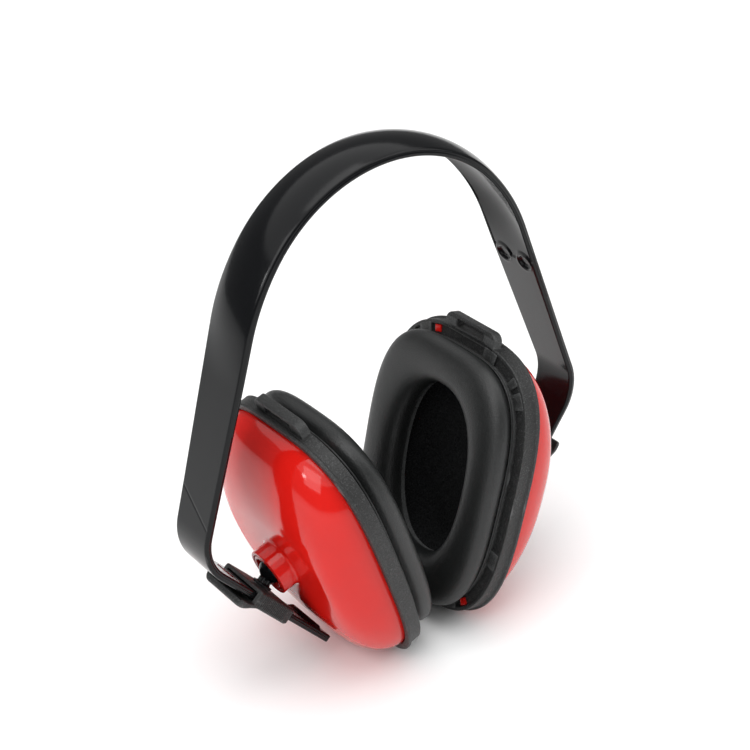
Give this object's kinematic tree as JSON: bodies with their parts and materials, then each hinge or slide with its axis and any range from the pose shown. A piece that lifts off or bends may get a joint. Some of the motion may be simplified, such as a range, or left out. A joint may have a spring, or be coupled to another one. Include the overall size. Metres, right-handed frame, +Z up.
{
  "type": "earmuff hearing protector",
  "caption": "Over-the-head earmuff hearing protector: a glossy black moulded headband, sliding clips with ball studs, and red ear cups with soft black sealing cushions.",
  "frame": {"origin": "middle of the underside of the headband's crown, where it rests on the head", "axes": "+Z up, X from cup to cup, -Y to the front; left cup at -X and right cup at +X"},
  "size_m": [0.157, 0.0754, 0.1819],
  "materials": {
    "headband_black": "high gloss moulded",
    "clip_black": "satin moulded",
    "shell_red": "high gloss moulded",
    "rim_black": "fine textured",
    "cushion_black": "soft satin film",
    "foam_dark": "open cell foam"
  },
  "bodies": {
    "headband": {"headband": "headband_black"},
    "slider_left": {"slider_clip_left": "clip_black"},
    "stud_left": {"ball_stud_left": "clip_black"},
    "socket_left": {"socket_ring_left": "shell_red"},
    "cup_left": {"cup_shell_left": "shell_red", "rim_ring_left": "rim_black", "cushion_plate_left": "rim_black", "cushion_skin_left": "cushion_black", "cushion_foam_left": "foam_dark", "acoustic_foam_left": "foam_dark"},
    "slider_right": {"slider_clip_right": "clip_black"},
    "stud_right": {"ball_stud_right": "clip_black"},
    "socket_right": {"socket_ring_right": "shell_red"},
    "cup_right": {"cup_shell_right": "shell_red", "rim_ring_right": "rim_black", "cushion_plate_right": "rim_black", "cushion_skin_right": "cushion_black", "cushion_foam_right": "foam_dark", "acoustic_foam_right": "foam_dark"}
  },
  "joints": [
    {"name": "height_slide_left", "type": "slide", "parent": "headband", "child": "slider_left", "axis": [0.6293, 0, -0.7771], "range_m": [-0.012, 0.001]},
    {"name": "stud_swivel_left", "type": "hinge", "parent": "slider_left", "child": "stud_left", "pos_m": [-0.04929, 0, -0.13661], "axis": [-0.7771, 0, -0.6293], "range_deg": [-20, 20]},
    {"name": "cup_tilt_left", "type": "hinge", "parent": "stud_left", "child": "socket_left", "pos_m": [-0.04929, 0, -0.13661], "axis": [0, 1, 0], "range_deg": [-5, 2]},
    {"name": "cup_spin_left", "type": "hinge", "parent": "socket_left", "child": "cup_left", "pos_m": [-0.04929, 0, -0.13661], "axis": [-0.9588, 0, -0.284], "continuous": true},
    {"name": "height_slide_right", "type": "slide", "parent": "headband", "child": "slider_right", "axis": [-0.6293, 0, -0.7771], "range_m": [-0.012, 0.001]},
    {"name": "stud_swivel_right", "type": "hinge", "parent": "slider_right", "child": "stud_right", "pos_m": [0.04929, 0, -0.13661], "axis": [0.7771, 0, -0.6293], "range_deg": [-20, 20]},
    {"name": "cup_tilt_right", "type": "hinge", "parent": "stud_right", "child": "socket_right", "pos_m": [0.04929, 0, -0.13661], "axis": [0, -1, 0], "range_deg": [-5, 2]},
    {"name": "cup_spin_right", "type": "hinge", "parent": "socket_right", "child": "cup_right", "pos_m": [0.04929, 0, -0.13661], "axis": [0.9588, 0, -0.284], "continuous": true}
  ]
}
